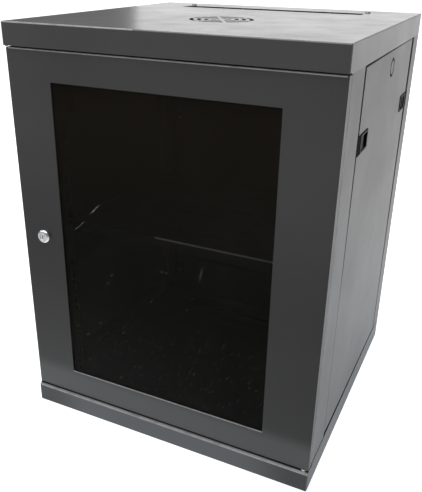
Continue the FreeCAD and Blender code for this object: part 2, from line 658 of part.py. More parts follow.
# ------------------------------------------------------------------ door
def door_frame():
    o = box(-DOOR_X, YD, DOOR_Z0, DOOR_X, YD + DOOR_DEEP, DOOR_Z1)
    o = fillet(o, 2.6, lambda a, b: near(abs(a.x), DOOR_X) and near(a.x, b.x) and near(a.z, b.z)
               and (near(a.z, DOOR_Z0) or near(a.z, DOOR_Z1)))
    o = fillet(o, 1.5, lambda a, b: near(a.y, YD) and near(b.y, YD))
    i = box(-DOOR_X + T, YD + T, DOOR_Z0 + T, DOOR_X - T, YD + DOOR_DEEP - T, DOOR_Z1 - T)
    b = o.cut(i)
    # the back is open inside a 10 mm hem
    back = box(-DOOR_X + T + 10, YD + DOOR_DEEP - T - 1, DOOR_Z0 + T + 10,
               DOOR_X - T - 10, YD + DOOR_DEEP + 1, DOOR_Z1 - T - 10)
    win = box(WIN_X0, YD - 1, WIN_Z0, WIN_X1, YD + T + 1, WIN_Z1)
    win = fillet(win, 1.5, lambda a, c: near(a.x, c.x) and near(a.z, c.z))
    return cut(b, [
        back, win,
        cyl(9.1, (LOCK_X, YD - 1, LOCK_Z), (LOCK_X, YD + T + 1, LOCK_Z)),
        cyl(PIN_R + FIT, (HINGE_X, HINGE_Y, DOOR_Z1 - 3), (HINGE_X, HINGE_Y, DOOR_Z1 + 1)),
        cyl(3.4, (HINGE_X, HINGE_Y, DOOR_Z0 - 1), (HINGE_X, HINGE_Y, DOOR_Z0 + T + 1)),
    ])


save("door_frame", door_frame())

GX0, GX1, GZ0, GZ1 = WIN_X0 - 11, WIN_X1 + 11, WIN_Z0 - 11, WIN_Z1 + 11
TAPE = 1.0
GY0 = YD + T + TAPE
GY1 = GY0 + GLASS_T
glass = box(GX0, GY0, GZ0, GX1, GY1, GZ1)
glass = fillet(glass, 3.0, lambda a, c: near(a.x, c.x) and near(a.z, c.z))
save("door_glass", glass)
tape = box(GX0 + 1.5, YD + T, GZ0 + 1.5, GX1 - 1.5, GY0, GZ1 - 1.5).cut(
    box(WIN_X0 - 2, YD, WIN_Z0 - 2, WIN_X1 + 2, GY0 + 1, WIN_Z1 + 2))
save("glass_tape", tape)


def clip(x, z, dx, dz):
    """Cranked clip: foot on the door sheet, nose over the glass edge; (dx, dz) points from foot to glass."""
    t = 1.5
    n = 20.0
    foot_y0, nose_y0 = YD + T, GY1
    # local frame: a along (dx, dz), b across
    def bx(a0, a1, y0, y1):
        if dx:
            xa, xb = x + dx * a0, x + dx * a1
            return box(xa, y0, z - n / 2, xb, y1, z + n / 2)
        za, zb = z + dz * a0, z + dz * a1
        return box(x - n / 2, y0, za, x + n / 2, y1, zb)
    foot = bx(-20, -1.5, foot_y0, foot_y0 + t)
    rise = bx(-3.0, -1.5, foot_y0, nose_y0 + t)
    nose = bx(-3.0, 9.0, nose_y0, nose_y0 + t)
    b = fuse([foot, rise, nose])
    cx, cz = x - dx * 12, z - dz * 12
    return one(cut(b, [cyl(2.6, (cx, foot_y0 - 1, cz), (cx, foot_y0 + t + 1, cz))])), (cx, cz)


CLIPS = []
for z in (160.0, 290.0, 500.0, 630.0):
    CLIPS.append((GX0, z, 1, 0))
    CLIPS.append((GX1, z, -1, 0))
for x in (-110.0, 110.0):
    CLIPS.append((x, GZ0, 0, 1))
    CLIPS.append((x, GZ1, 0, -1))
clips, nuts = [], []
for c in CLIPS:
    s, (cx, cz) = clip(*c)
    clips.append(s)
    stud = cyl(2.5, (cx, YD + T, cz), (cx, YD + T + 9, cz))
    y = YD + T + 1.5
    nut = Part.Face(Part.makePolygon([V(cx + 4.6 * math.cos(math.radians(60 * k)), y,
                                        cz + 4.6 * math.sin(math.radians(60 * k))) for k in range(7)])).extrude(V(0, 4, 0))
    nuts.append(one(fuse([stud, nut])))
group("glass_clips", clips)
group("glass_clip_nuts", nuts)

# rubber buffers on the lock side stop flange
group("door_buffers", [cone(5.0, 4.2, (-292.5, YD + 20.8, z), (-292.5, YD + DOOR_DEEP + 0.2, z)) for z in (120.0, 665.0)])


# ------------------------------------------------------------------ door lock
def lock_housing():
    x, z = LOCK_X, LOCK_Z
    y0 = YD - LOCK_PROUD
    head = cyl(LOCK_R, (x, y0, z), (x, YD, z))
    head = head.makeFillet(4.6, [e for e in head.Edges if near(e.BoundBox.YMax, y0, 0.02)])
    barrel = cyl(9.0, (x, YD - 1, z), (x, YD + 22.5, z))
    b = fuse([head, barrel])
    rec = cyl(6.9, (x, y0 - 1, z), (x, y0 + 0.5, z))
    return cut(b, [rec, cyl(6.0 + FIT, (x, y0 - 1, z), (x, YD + 24, z))])


def lock_plug():
    x, z = LOCK_X, LOCK_Z
    y0 = YD - LOCK_PROUD + 0.2
    b = cyl(6.0, (x, y0, z), (x, YD + 23, z))
    b = b.makeFillet(1.0, [e for e in b.Edges if near(e.BoundBox.YMax, y0, 0.02)])
    drive = box(x - 3.5, YD + 22.5, z - 3.5, x + 3.5, YD + 26, z + 3.5)
    b = fuse([b, drive])
    key = [box(x - 0.8, y0 - 1, z - 4.2, x + 0.8, y0 + 9, z + 4.2),
           cyl(1.5, (x, YD + 18, z), (x, YD + 28, z))]
    return cut(b, key)


def lock_cam():
    x, z = LOCK_X, LOCK_Z
    y0, y1 = YD + 23, YD + 26
    a = cyl(8.5, (x, y0, z), (x, y1, z))
    arm = box(x - 7, y0, z - 33, x + 7, y1, z)
    tip = cyl(7.0, (x, y0, z - 33), (x, y1, z - 33))
    b = fuse([a, arm, tip])
    return cut(b, [box(x - 3.5, y0 - 1, z - 3.5, x + 3.5, y1 + 1, z + 3.5)])


def lock_cam_screw():
    x, z = LOCK_X, LOCK_Z
    y = YD + 26
    head = cyl(5.0, (x, y, z), (x, y + 2.6, z))
    head = head.makeFillet(1.0, [e for e in head.Edges if near(e.BoundBox.YMin, y + 2.6, 0.02)])
    b = fuse([head, cyl(1.5, (x, y - 7, z), (x, y + 1, z))])
    return cut(b, [box(x - 2.6, y + 1.4, z - 0.5, x + 2.6, y + 4, z + 0.5),
                   box(x - 0.5, y + 1.4, z - 2.6, x + 0.5, y + 4, z + 2.6)])


def lock_nut():
    x, z = LOCK_X, LOCK_Z
    y0, y1 = YD + T, YD + T + 4.5
    f = Part.Face(Part.makePolygon([V(x + 13.3 * math.cos(math.radians(60 * k)), y0,
                                      z + 13.3 * math.sin(math.radians(60 * k))) for k in range(7)])).extrude(V(0, y1 - y0, 0))
    return cut(f, [cyl(9.0, (x, y0 - 1, z), (x, y1 + 1, z))])


save("lock_housing", lock_housing())
save("lock_plug", lock_plug())
save("lock_cam", lock_cam())
save("lock_cam_screw", lock_cam_screw())
save("lock_nut", lock_nut())


# ------------------------------------------------------------------ removable side panels
F_END = FRONT_RET_Y + 0.4        # gap end of the front latches
R_END = REAR_RET_Y - 0.4


def latch_y(end, d, t):
    """t millimetres inward from the gap end; d is the way the tongue points."""
    return end - d * t


def inset(pts, t):
    """A convex outline, given counter-clockwise, moved inwards by t."""
    n = len(pts)
    lines = []
    for k in range(n):
        (y0, z0), (y1, z1) = pts[k], pts[(k + 1) % n]
        l = math.hypot(y1 - y0, z1 - z0)
        dy, dz = (y1 - y0) / l, (z1 - z0) / l
        lines.append((y0 - dz * t, z0 + dy * t, dy, dz))
    out = []
    for k in range(n):
        ya, za, ua, va = lines[k - 1]
        yb, zb, ub, vb = lines[k]
        den = ua * vb - va * ub
        m = ((yb - ya) * vb - (zb - za) * ub) / den
        out.append((ya + ua * m, za + va * m))
    return out


def side_panel():
    xi = PANEL_X - PANEL_T
    o = poly([(PANEL_X - PANEL_RET, y, z) for y, z in PANEL_YZ], (1, 0, 0), PANEL_RET)
    o = fillet(o, 2.0, lambda a, b: near(a.x, PANEL_X) and near(b.x, PANEL_X))
    i = poly([(PANEL_X - PANEL_RET - 1, y, z) for y, z in inset(PANEL_YZ, PANEL_T)], (1, 0, 0), PANEL_RET + 1 - PANEL_T)
    b = o.cut(i)
    cuts = []
    for end, d in ((F_END, -1), (R_END, 1)):
        cuts.append(box(PANEL_X - 13.8, latch_y(end, d, -2), LATCH_Z - 15.8, PANEL_X + 1,
                        latch_y(end, d, 68.8), LATCH_Z + 15.8))
    ring = cyl(KNOCK_R, (xi - 2, KNOCK_Y, KNOCK_Z), (PANEL_X + 1, KNOCK_Y, KNOCK_Z)).cut(
        cyl(KNOCK_R - 3.6, (xi - 2, KNOCK_Y, KNOCK_Z), (PANEL_X + 1, KNOCK_Y, KNOCK_Z)))
    ring = ring.cut(box(xi - 3, KNOCK_Y - 30, KNOCK_Z - 1.7, PANEL_X + 2, KNOCK_Y + 30, KNOCK_Z + 1.7))
    cuts += ring.Solids
    return cut(b, cuts)


sp = side_panel()
save("side_panel_right", sp)
save("side_panel_left", mirror_x(sp))


def peg(y):
    xi = PANEL_X - PANEL_T
    p = cyl(PIN_R, (xi - 1, y, 70), (279.5, y, 70))
    p = p.makeFillet(1.2, [e for e in p.Edges if near(e.BoundBox.XMax, 279.5, 0.02)])
    return one(fuse([p, cyl(3.8, (xi, y, 70), (xi - 2.0, y, 70))]))


pegs = [peg(FRONT_RET_Y + 8), peg(REAR_RET_Y - 8)]
group("panel_pegs_right", pegs)
group("panel_pegs_left", [mirror_x(p) for p in pegs])


def latch_housing(end, d):
    """Moulded cup with a bezel; a closed plate covers the tongue, a raised rim frames the finger recess."""
    Y = lambda t: latch_y(end, d, t)
    hw = LATCH_W / 2
    bez = box(PANEL_X, Y(0), LATCH_Z - hw, PANEL_X + 1.0, Y(LATCH_LEN), LATCH_Z + hw)
    bez = fillet(bez, 3.0, lambda a, c: near(a.y, c.y) and near(a.z, c.z))
    rim = box(PANEL_X + 0.5, Y(22.5), LATCH_Z - hw + 1.6, PANEL_X + 1.8, Y(LATCH_LEN - 2.0), LATCH_Z + hw - 1.6)
    rim = fillet(rim, 3.0, lambda a, c: near(a.y, c.y) and near(a.z, c.z))
    rim = fillet(rim, 0.7, lambda a, c: near(a.x, PANEL_X + 1.8) and near(c.x, PANEL_X + 1.8))
    cup = box(PANEL_X - 12.3, Y(1.5), LATCH_Z - 15.5, PANEL_X, Y(68.5), LATCH_Z + 15.5)
    b = fuse([bez, rim, cup])
    hole = box(PANEL_X - 10.8, Y(26.0), LATCH_Z - 13.2, PANEL_X + 3, Y(66.5), LATCH_Z + 13.2)
    hole = fillet(hole, 1.5, lambda a, c: near(a.y, c.y) and near(a.z, c.z))
    tunnel = box(289.6, Y(-1), LATCH_Z - 7.8, 293.4, Y(28), LATCH_Z + 7.8)
    return cut(b, [hole, tunnel])


def latch_slider(end, d):
    Y = lambda t: latch_y(end, d, t)
    tongue = box(290.0, Y(0.9), LATCH_Z - 7.4, 293.0, Y(46), LATCH_Z + 7.4)
    tongue = fillet(tongue, 1.0, lambda a, c: near(a.y, Y(0.9)) and near(c.y, Y(0.9)) and near(a.x, c.x))
    ridge = box(292.5, Y(34.5), LATCH_Z - 12.4, PANEL_X + 0.4, Y(44.5), LATCH_Z + 12.4)
    ridge = fillet(ridge, 1.2, lambda a, c: near(a.x, PANEL_X + 0.4) and near(c.x, PANEL_X + 0.4))
    b = fuse([tongue, ridge])
    grooves = [box(PANEL_X - 0.5, Y(t), LATCH_Z - 10.5, PANEL_X + 1, Y(t + 1.0), LATCH_Z + 10.5)
               for t in (36.5, 39.0, 41.5)]
    return cut(b, grooves)


for nm, end, d in (("front", F_END, -1), ("rear", R_END, 1)):
    h = latch_housing(end, d)
    s = latch_slider(end, d)
    save("latch_housing_right_%s" % nm, h)
    save("latch_slider_right_%s" % nm, s)
    save("latch_housing_left_%s" % nm, mirror_x(h))
    save("latch_slider_left_%s" % nm, mirror_x(s))


# ------------------------------------------------------------------ cantilever shelf on the front rails
def shelf():
    z1 = Z_U0 + SHELF_U * U
    z0 = z1 - 2 * U + 0.8
    yf = RAIL_FRONT_Y - 2
    x = 222.0
    tray = box(-x, yf, z1 - T, x, yf + SHELF_DEEP, z1)
    lip = box(-x, yf, z1 - 18, x, yf + T, z1)
    rear = box(-x, yf + SHELF_DEEP - T, z1 - 12, x, yf + SHELF_DEEP, z1)
    parts = [tray, lip, rear]
    for s in (-1, 1):
        g = [(s * x, yf, z0), (s * x, yf, z1), (s * x, yf + SHELF_DEEP, z1), (s * x, yf + SHELF_DEEP, z1 - 12),
             (s * x, yf + 60, z0)]
        parts.append(poly(g, (-s, 0, 0), T))
        parts.append(box(s * (x - T), yf, z0, s * 241.0, yf + 2, z1 - 0.8))
    b = fuse(parts)
    b = fillet(b, 1.2, lambda p, q: near(p.z, z1) and near(q.z, z1) and near(p.y, yf) and near(q.y, yf))
    cuts = []
    for j in range(6):
        for i in range(7):
            xx = -171 + i * 57
            yy = yf + 48 + j * 46
            cuts.append(box(xx - 20, yy, z1 - 3, xx + 20, yy + 5, z1 + 1))
    for s in (-1, 1):
        for z in SHELF_SCREW_Z:
            cuts.append(cyl(3.3, (s * RAIL_HOLE_X, yf - 1, z), (s * RAIL_HOLE_X, yf + 3, z)))
    return cut(b, cuts)


SHELF_SCREW_Z = (Z_U0 + (SHELF_U - 2) * U + 6.35, Z_U0 + (SHELF_U - 1) * U + 38.1)
save("shelf_tray", shelf())
group("shelf_screws", [pan_screw_y(s * RAIL_HOLE_X, z, RAIL_FRONT_Y - 2, r=3.0, head_r=5.8, head_h=3.2, length=13)
                       for s in (-1, 1) for z in SHELF_SCREW_Z])


def cage_nut(s, z):
    x = s * RAIL_HOLE_X
    y0 = RAIL_FRONT_Y + 2
    nut = box(x - 5.2, y0 + 0.2, z - 5.2, x + 5.2, y0 + 5.5, z + 5.2)
    cage = box(x - 6.8, y0, z - 6.4, x + 6.8, y0 + 0.8, z + 6.4)
    ears = box(x - 4.6, RAIL_FRONT_Y + 0.2, z - 4.6, x + 4.6, y0 + 0.5, z + 4.6)
    b = fuse([nut, cage, ears])
    return one(cut(b, [cyl(3.0, (x, RAIL_FRONT_Y - 1, z), (x, y0 + 7, z))]))


group("shelf_cage_nuts", [cage_nut(s, z) for s in (-1, 1) for z in SHELF_SCREW_Z])


# ------------------------------------------------------------------ earth stud on the base
def earth_stud():
    x, y = 200.0, 120.0
    stud = cyl(3.0, (x, y, T), (x, y, T + 22))
    def hexa(z, h, r):
        return Part.Face(Part.makePolygon([V(x + r * math.cos(math.radians(60 * k)), y + r * math.sin(math.radians(60 * k)),
                                             z) for k in range(7)])).extrude(V(0, 0, h))
    washer = cyl(6.5, (x, y, T + 6), (x, y, T + 7.4))
    return fuse([stud, hexa(T, 5, 5.6), washer, hexa(T + 7.4, 5, 5.6)])


save("earth_stud", earth_stud())

# ------------------------------------------------------------------ write one STEP file per piece
os.makedirs("parts", exist_ok=True)
total = 0
for name in sorted(OUT):
    OUT[name].exportStep("parts/%s.step" % name)
    total += len(OUT[name].Solids)
print(len(OUT), "nodes,", total, "solids")
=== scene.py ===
import bpy, bmesh, json, math, random
from mathutils import Vector, Matrix


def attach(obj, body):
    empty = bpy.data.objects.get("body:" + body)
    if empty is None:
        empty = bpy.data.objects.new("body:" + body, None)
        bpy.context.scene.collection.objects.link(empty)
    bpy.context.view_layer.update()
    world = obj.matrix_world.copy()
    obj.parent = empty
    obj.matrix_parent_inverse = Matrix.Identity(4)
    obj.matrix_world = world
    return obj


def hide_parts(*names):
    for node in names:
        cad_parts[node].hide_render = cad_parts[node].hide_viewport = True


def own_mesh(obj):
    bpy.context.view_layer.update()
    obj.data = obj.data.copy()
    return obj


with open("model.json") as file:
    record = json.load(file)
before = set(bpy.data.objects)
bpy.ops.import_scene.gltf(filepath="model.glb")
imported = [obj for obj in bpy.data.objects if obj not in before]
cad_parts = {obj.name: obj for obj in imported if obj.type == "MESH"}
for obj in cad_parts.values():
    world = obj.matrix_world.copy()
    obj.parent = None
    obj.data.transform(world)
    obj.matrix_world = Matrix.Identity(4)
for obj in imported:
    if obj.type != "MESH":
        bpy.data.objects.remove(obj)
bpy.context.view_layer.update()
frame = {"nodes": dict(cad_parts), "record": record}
N = frame["nodes"]
scene = bpy.context.scene
MM = 0.001


# ------------------------------------------------------------------ colour management
scene.view_settings.view_transform = "Standard"
scene.view_settings.look = "None"
scene.view_settings.exposure = 0.0
scene.view_settings.gamma = 1.0


# ------------------------------------------------------------------ node helpers
class M:
    """A small builder for node materials."""

    def __init__(self, name):
        self.mat = bpy.data.materials.new(name)
        self.mat.use_nodes = True
        self.nt = self.mat.node_tree
        self.nt.nodes.clear()
        self.out = self.nt.nodes.new("ShaderNodeOutputMaterial")
        self.bsdf = self.nt.nodes.new("ShaderNodeBsdfPrincipled")
        self.nt.links.new(self.bsdf.outputs[0], self.out.inputs[0])
        self.tc = self.nt.nodes.new("ShaderNodeTexCoord")

    def link(self, a, b):
        self.nt.links.new(a, b)

    def set(self, **kw):
        names = dict(color="Base Color", metallic="Metallic", roughness="Roughness", ior="IOR", alpha="Alpha",
                     spec="Specular IOR Level", trans="Transmission Weight", coat="Coat Weight",
                     coat_rough="Coat Roughness", sheen="Sheen Weight", aniso="Anisotropic",
                     emit="Emission Color", emit_s="Emission Strength", coat_ior="Coat IOR")
        for k, v in kw.items():
            s = self.bsdf.inputs[names[k]]
            if isinstance(v, bpy.types.NodeSocket):
                self.link(v, s)
            elif k in ("color", "emit") and len(v) == 3:
                s.default_value = (v[0], v[1], v[2], 1)
            else:
                s.default_value = v
        return self

    def pos(self, scale=(1, 1, 1)):
        if scale == (1, 1, 1):
            return self.tc.outputs["Object"]
        m = self.nt.nodes.new("ShaderNodeMapping")
        m.inputs["Scale"].default_value = scale
        self.link(self.tc.outputs["Object"], m.inputs["Vector"])
        return m.outputs[0]

    def noise(self, scale, detail=3.0, rough=0.5, vec=None, dist=0.0):
        n = self.nt.nodes.new("ShaderNodeTexNoise")
        n.inputs["Scale"].default_value = scale
        n.inputs["Detail"].default_value = detail
        n.inputs["Roughness"].default_value = rough
        n.inputs["Distortion"].default_value = dist
        self.link(vec or self.pos(), n.inputs["Vector"])
        return n.outputs["Fac"]

    def voronoi(self, scale, vec=None, feature="F1", rand=1.0, out="Distance"):
        n = self.nt.nodes.new("ShaderNodeTexVoronoi")
        n.feature = feature
        n.inputs["Scale"].default_value = scale
        n.inputs["Randomness"].default_value = rand
        self.link(vec or self.pos(), n.inputs["Vector"])
        return n.outputs[out]

    def wave(self, scale, vec=None, dist=0.0, direction="X"):
        n = self.nt.nodes.new("ShaderNodeTexWave")
        n.bands_direction = direction
        n.inputs["Scale"].default_value = scale
        n.inputs["Distortion"].default_value = dist
        self.link(vec or self.pos(), n.inputs["Vector"])
        return n.outputs["Fac"]

    def math(self, op, a, b=None, c=None, clamp=False):
        n = self.nt.nodes.new("ShaderNodeMath")
        n.operation = op
        n.use_clamp = clamp
        for i, v in enumerate((a, b, c)):
            if v is None:
                continue
            if isinstance(v, bpy.types.NodeSocket):
                self.link(v, n.inputs[i])
            else:
                n.inputs[i].default_value = v
        return n.outputs[0]

    def ramp(self, fac, lo, hi, a=0.0, b=1.0, smooth=True):
        n = self.nt.nodes.new("ShaderNodeMapRange")
        n.interpolation_type = "SMOOTHSTEP" if smooth else "LINEAR"
        self.link(fac, n.inputs["Value"])
        n.inputs["From Min"].default_value = lo
        n.inputs["From Max"].default_value = hi
        n.inputs["To Min"].default_value = a
        n.inputs["To Max"].default_value = b
        return n.outputs["Result"]

    def mix(self, fac, a, b):
        n = self.nt.nodes.new("ShaderNodeMix")
        n.data_type = "RGBA"
        for s, v in ((n.inputs["Factor"], fac), (n.inputs["A"], a), (n.inputs["B"], b)):
            if isinstance(v, bpy.types.NodeSocket):
                self.link(v, s)
            elif isinstance(v, (int, float)):
                s.default_value = v
            else:
                s.default_value = (v[0], v[1], v[2], 1)
        return n.outputs["Result"]

    def sep(self, vec=None):
        n = self.nt.nodes.new("ShaderNodeSeparateXYZ")
        self.link(vec or self.pos(), n.inputs[0])
        return n.outputs

    def comb(self, x, y, z):
        n = self.nt.nodes.new("ShaderNodeCombineXYZ")
        for i, v in enumerate((x, y, z)):
            if isinstance(v, bpy.types.NodeSocket):
                self.link(v, n.inputs[i])
            else:
                n.inputs[i].default_value = v
        return n.outputs[0]

    def bump(self, height, strength, distance):
        n = self.nt.nodes.new("ShaderNodeBump")
        n.inputs["Strength"].default_value = strength
        n.inputs["Distance"].default_value = distance
        self.link(height, n.inputs["Height"])
        prev = self.bsdf.inputs["Normal"]
        if prev.is_linked:
            self.link(prev.links[0].from_socket, n.inputs["Normal"])
        self.link(n.outputs[0], prev)
        return n.outputs[0]

    def normal_z(self):
        g = self.nt.nodes.new("ShaderNodeNewGeometry")
        s = self.nt.nodes.new("ShaderNodeSeparateXYZ")
        self.link(g.outputs["Normal"], s.inputs[0])
        return s.outputs


def powder(name, base=(0.046, 0.046, 0.0475), rough=0.50, dust=0.5, scratches=True, spec=0.40, edge_highlights=(),
           side=None, inner_shade=None, down=(), top=1.0, ends=1.0, seam_shade=(), edge_shade=(), ring_shade=None):
    """Dark grey powder coat: fine orange peel, faint cloudiness, dust on what faces up, hairline scuffs.
    wear lists edge bands painted lighter as highlights, with a rubbed look: (z low, z high, y front limit, x low, x
    high, grey level, strength).
    side is the roughness of faces that look sideways, inside the painted shade that darkens the coat within the
    cabinet, down the painted shade that darkens the coat at given heights: (z, factor), top the painted shade on faces
    that look up,
    ends the painted shade towards the left and right ends, seam the painted shade along side seams:
    (z low, z high, y low, y high, strength), edges the same painted shade along slanting lines: (y, z, y, z, width,
    strength), ring the same painted shade in and round an annular groove: (y, z, inner radius, outer radius,
    strength)."""
    m = M(name)
    cloud = m.noise(2.3, 3.0, 0.55)
    fine = m.noise(620.0, 2.0, 0.6)
    b = Vector(base)
    c1 = m.mix(m.ramp(cloud, 0.3, 0.7), tuple(b * 0.92), tuple(b * 1.09))
    c2 = m.mix(m.ramp(fine, 0.35, 0.7, 0.0, 0.35), c1, tuple(b * 1.6))
    nz = m.normal_z()[2]
    up = m.ramp(nz, 0.55, 1.0)
    dusty = m.math("MULTIPLY", m.ramp(m.noise(14.0, 5.0, 0.62), 0.42, 0.78), m.math("MULTIPLY", up, dust * 0.22))
    c3 = m.mix(dusty, c2, (0.22, 0.215, 0.2))
    x, y, z = m.sep()
    ax = m.math("ABSOLUTE", x)
    # painted shade: the coat is darkened by height, keeping the given fraction at each height
    if down:
        f = down[0][1]
        for (za, fa), (zb, fb) in zip(down, down[1:]):
            f = m.math("ADD", f, m.ramp(z, za, zb, 0.0, fb - fa))
        c3 = m.mix(m.math("SUBTRACT", 1.0, f), c3, (0.0, 0.0, 0.0))
    # painted shade: faces that look up are darkened
    if top != 1.0:
        c3 = m.mix(m.math("MULTIPLY", up, 1.0 - top), c3, (0.0, 0.0, 0.0))
    # painted shade: flat faces are darkened towards the left and right ends
    if ends != 1.0:
        flat = m.ramp(m.math("ABSOLUTE", m.normal_z()[0]), 0.8, 0.5)
        c3 = m.mix(m.math("MULTIPLY", flat, m.ramp(ax, 0.17, 0.285, 0.0, 1.0 - ends)), c3, (0.0, 0.0, 0.0))
    # painted shade: surfaces within the cabinet are darkened
    if inner_shade is not None:
        k = m.math("MULTIPLY", m.ramp(ax, 0.2992, 0.2986), m.ramp(y, -0.2938, -0.2930))
        k = m.math("MULTIPLY", k, m.math("MULTIPLY", m.ramp(z, 0.7840, 0.7834), m.ramp(z, 0.0008, 0.0014)))
        k = m.math("MULTIPLY", k, m.ramp(y, 0.2994, 0.2988))
        c3 = m.mix(m.math("MULTIPLY", k, 1.0 - inner_shade), c3, (0.0, 0.0, 0.0))
    # painted shade along seams, slanting gap lines and round the groove: the coat is darkened nearly to black there
    painted_shade = None
    # painted highlights: each band is painted a lighter grey, broken up by noise into a rubbed look
    for z0, z1, yf, x0, x1, grey, k in edge_highlights:
        band = m.math("MULTIPLY", m.ramp(z, z0 - 0.0005, z0), m.ramp(z, z1 + 0.0005, z1))
        band = m.math("MULTIPLY", band, m.ramp(y, yf + 0.0005, yf))
        band = m.math("MULTIPLY", band, m.math("MULTIPLY", m.ramp(x, x0 - 0.0004, x0), m.ramp(x, x1 + 0.0004, x1)))
        lighter_band = m.math("MULTIPLY", band, m.ramp(m.noise(46.0, 3.0, 0.6), 0.25, 0.6, 0.62 * k, k))
        c3 = m.mix(lighter_band, c3, (grey, grey, grey * 1.02))
    for z0, z1, y0, y1, k in seam_shade:
        band = m.math("MULTIPLY", m.ramp(z, z0 - 0.0006, z0), m.ramp(z, z1 + 0.0006, z1))
        band = m.math("MULTIPLY", band, m.math("MULTIPLY", m.ramp(y, y0 - 0.006, y0), m.ramp(y, y1 + 0.003, y1)))
        band = m.math("MULTIPLY", m.math("MULTIPLY", band, m.ramp(ax, 0.290, 0.2915)), k)
        painted_shade = band if painted_shade is None else m.math("MAXIMUM", painted_shade, band)
    for ya, za, yb, zb, w, k in edge_shade:
        on = m.math("ADD", m.math("MULTIPLY", z, (yb - ya) / (zb - za)), ya - za * (yb - ya) / (zb - za))
        off = m.math("ABSOLUTE", m.math("SUBTRACT", y, on))
        band = m.math("MULTIPLY", m.ramp(off, w + 0.0005, w), m.ramp(z, min(za, zb) - 0.02, min(za, zb) + 0.10))
        band = m.math("MULTIPLY", m.math("MULTIPLY", band, m.ramp(ax, 0.290, 0.2915)), k)
        painted_shade = band if painted_shade is None else m.math("MAXIMUM", painted_shade, band)
    if ring_shade is not None:
        dy, dz = m.math("SUBTRACT", y, ring_shade[0]), m.math("SUBTRACT", z, ring_shade[1])
        rad = m.math("SQRT", m.math("ADD", m.math("MULTIPLY", dy, dy), m.math("MULTIPLY", dz, dz)))
        band = m.math("MULTIPLY", m.ramp(rad, ring_shade[2] - 0.0006, ring_shade[2]), m.ramp(rad, ring_shade[3] + 0.0006, ring_shade[3]))
        painted_shade = m.math("MAXIMUM", painted_shade, m.math("MULTIPLY", band, ring_shade[4]))
    if painted_shade is not None:
        c3 = m.mix(painted_shade, c3, (0.002, 0.002, 0.002))
    m.set(color=c3)
    r = m.ramp(m.noise(5.0, 4.0, 0.6), 0.25, 0.75, rough - 0.03, rough + 0.04)
    if painted_shade is not None:
        r = m.math("ADD", r, m.math("MULTIPLY", painted_shade, 0.4))
    if side is not None:
        nx = m.math("ABSOLUTE", m.normal_z()[0])
        r = m.math("ADD", r, m.ramp(nx, 0.45, 0.80, 0.0, side - rough))
    r2 = m.math("ADD", r, m.math("MULTIPLY", dusty, 0.35))
    if scratches:
        s = m.noise(9.0, 2.0, 0.5, vec=m.pos((60.0, 60.0, 1.5)))
        sc = m.ramp(s, 0.735, 0.77)
        r2 = m.math("SUBTRACT", r2, m.math("MULTIPLY", sc, 0.05))
    m.set(roughness=r2, spec=spec)
    m.bump(m.noise(1150.0, 2.0, 0.5), 0.16, 0.00012)
    m.bump(m.noise(95.0, 2.0, 0.5), 0.10, 0.00020)
    return m.mat


def metal(name, base, rough, brushed=None, spots=0.15, dark=0.75, bump=0.12):
    """Plated or bare metal with faint blotches, worn marks and an optional grain."""
    m = M(name)
    b = Vector(base)
    n1 = m.noise(38.0, 4.0, 0.6)
    n2 = m.noise(420.0, 3.0, 0.6)
    c = m.mix(m.ramp(n1, 0.3, 0.75, 0.0, spots * 2), tuple(b), tuple(b * dark))
    c = m.mix(m.ramp(n2, 0.55, 0.8, 0.0, spots), c, tuple(b * 0.55))
    m.set(color=c, metallic=1.0)
    r = m.ramp(m.noise(55.0, 3.0, 0.6), 0.25, 0.75, rough * 0.8, rough * 1.25)
    m.set(roughness=r)
    if brushed:
        g = m.noise(70.0, 3.0, 0.7, vec=m.pos(brushed))
        m.bump(g, 0.25, 0.00006)
    m.bump(m.noise(900.0, 2.0, 0.5), bump, 0.00005)
    return m.mat


def plastic(name, base, rough=0.5, grain=1400.0, var=0.2, strength=0.25, spec=0.5):
    """Moulded plastic with a fine spark-eroded texture and slight rubbing."""
    m = M(name)
    b = Vector(base)
    c = m.mix(m.ramp(m.noise(45.0, 4.0, 0.6), 0.3, 0.75), tuple(b * (1 - var)), tuple(b * (1 + var)))
    c = m.mix(m.ramp(m.noise(500.0, 2.0, 0.6), 0.55, 0.8, 0.0, 0.3), c, tuple(b * 1.5 + Vector((0.004, 0.004, 0.004))))
    m.set(color=c, roughness=m.ramp(m.noise(60.0, 3.0, 0.6), 0.25, 0.75, rough - 0.06, rough + 0.07), spec=spec)
    m.bump(m.noise(grain, 2.0, 0.55), strength, 0.00006)
    return m.mat


def latch_plastic():
    """Moulded latch: near black, with the proud rim round the finger recess painted lighter as a highlight."""
    m = M("latch_plastic")
    ax = m.math("ABSOLUTE", m.sep()[0])
    # painted highlight on the outward face of the proud rim
    lighter_band = m.math("MULTIPLY", m.ramp(ax, 0.3006, 0.3009), m.ramp(m.noise(90.0, 3.0, 0.6), 0.2, 0.6, 0.75, 1.0))
    c = m.mix(m.ramp(m.noise(45.0, 4.0, 0.6), 0.3, 0.75), (0.004, 0.004, 0.0042), (0.007, 0.007, 0.0073))
    c = m.mix(lighter_band, c, (0.16, 0.16, 0.164))
    m.set(color=c, roughness=m.ramp(m.noise(60.0, 3.0, 0.6), 0.25, 0.75, 0.86, 0.96), spec=0.04)
    m.bump(m.noise(1400.0, 2.0, 0.55), 0.25, 0.00006)
    return m.mat


